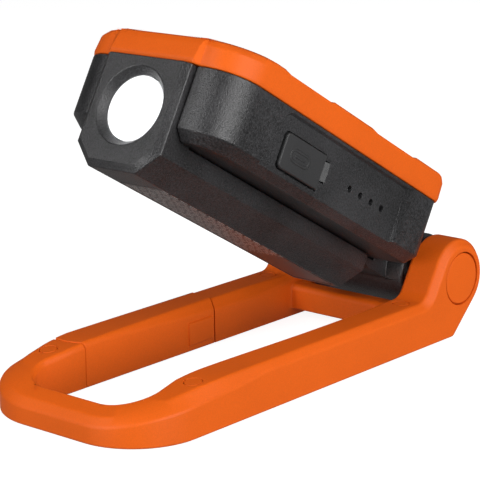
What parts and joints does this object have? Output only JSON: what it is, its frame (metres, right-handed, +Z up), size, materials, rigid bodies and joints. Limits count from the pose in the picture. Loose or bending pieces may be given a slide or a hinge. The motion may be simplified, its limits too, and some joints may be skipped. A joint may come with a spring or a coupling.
{
  "type": "folding work light",
  "caption": "Flat rechargeable inspection lamp with an end torch, hinged to a loop-shaped stand that doubles as a gated hook.",
  "frame": {"origin": "on the floor under the middle of the object's box, with the stand lying flat", "axes": "+X from the hinge towards the closed end of the loop, +Y to the side with the charging flap, +Z up"},
  "size_m": [0.148, 0.063, 0.0984],
  "materials": {
    "orange_plastic": "satin moulded",
    "black_plastic": "fine-grained satin",
    "black_rubber": "matt",
    "clear_plastic": "polished polycarbonate",
    "diffuser": "frosted",
    "steel": "zinc plated",
    "magnet_plate": "nickel plated",
    "aluminium": "bare",
    "mirror": "metallised plastic",
    "white_board": "white solder mask",
    "green_board": "green solder mask",
    "phosphor": "silicone over light-emitting chips",
    "cell_wrap": "shrink wrap over a metal can",
    "label_film": "printed film"
  },
  "bodies": {
    "stand": {"friction_washer_left": "steel", "friction_washer_right": "steel", "gate_pin": "steel", "gate_spring": "steel", "hinge_bolt": "steel", "hinge_cap_left": "orange_plastic", "hinge_cap_right": "orange_plastic", "hinge_nut": "steel", "magnet_1": "magnet_plate", "magnet_2": "magnet_plate", "magnet_3": "magnet_plate", "magnet_4": "magnet_plate", "magnet_plug_1": "orange_plastic", "magnet_plug_2": "orange_plastic", "magnet_plug_3": "orange_plastic", "magnet_plug_4": "orange_plastic", "stand_frame": "orange_plastic"},
    "gate": {"gate_lever": "orange_plastic"},
    "head": {"battery_cell": "cell_wrap", "bezel_frame": "orange_plastic", "bezel_gasket": "black_rubber", "button_switch": "steel", "case_screw_1": "steel", "case_screw_2": "steel", "case_screw_3": "steel", "case_screw_4": "steel", "cell_contact_front": "aluminium", "cell_contact_rear": "aluminium", "charge_socket": "steel", "driver_board": "green_board", "front_window": "diffuser", "heat_spreader": "aluminium", "housing_shell": "black_plastic", "indicator_light_guide": "diffuser", "lamp_board": "white_board", "lamp_emitter": "phosphor", "rating_label": "label_film", "reflector_tray": "white_board", "spine_cover": "black_plastic", "spine_screw_1": "steel", "spine_screw_2": "steel", "torch_board": "white_board", "torch_lens": "clear_plastic", "torch_reflector": "mirror"},
    "port_flap": {"port_flap": "black_rubber"},
    "power_button": {"power_button": "black_rubber"}
  },
  "joints": [
    {"name": "head_tilt", "type": "hinge", "parent": "stand", "child": "head", "pos_m": [-0.0625, 0, 0.0168], "axis": [0, -1, 0], "range_deg": [-30, 150]},
    {"name": "gate_swing", "type": "hinge", "parent": "stand", "child": "gate", "pos_m": [0.0461, -0.0286, 0.006], "axis": [0, 0, 1], "range_deg": [0, 30], "stiffness_Nm_per_rad": 0.12, "springref_deg": -17.19},
    {"name": "flap_open", "type": "hinge", "parent": "head", "child": "port_flap", "pos_m": [-0.00305, 0.0273, 0.05782], "axis": [-0.5, 0, 0.866], "range_deg": [0, 100], "stiffness_Nm_per_rad": 0.002, "springref_deg": -5.73},
    {"name": "button_press", "type": "slide", "parent": "head", "child": "power_button", "axis": [0.5, 0, -0.866], "range_m": [0, 0.0008], "stiffness_N_per_m": 900, "springref_m": -0.0004}
  ]
}
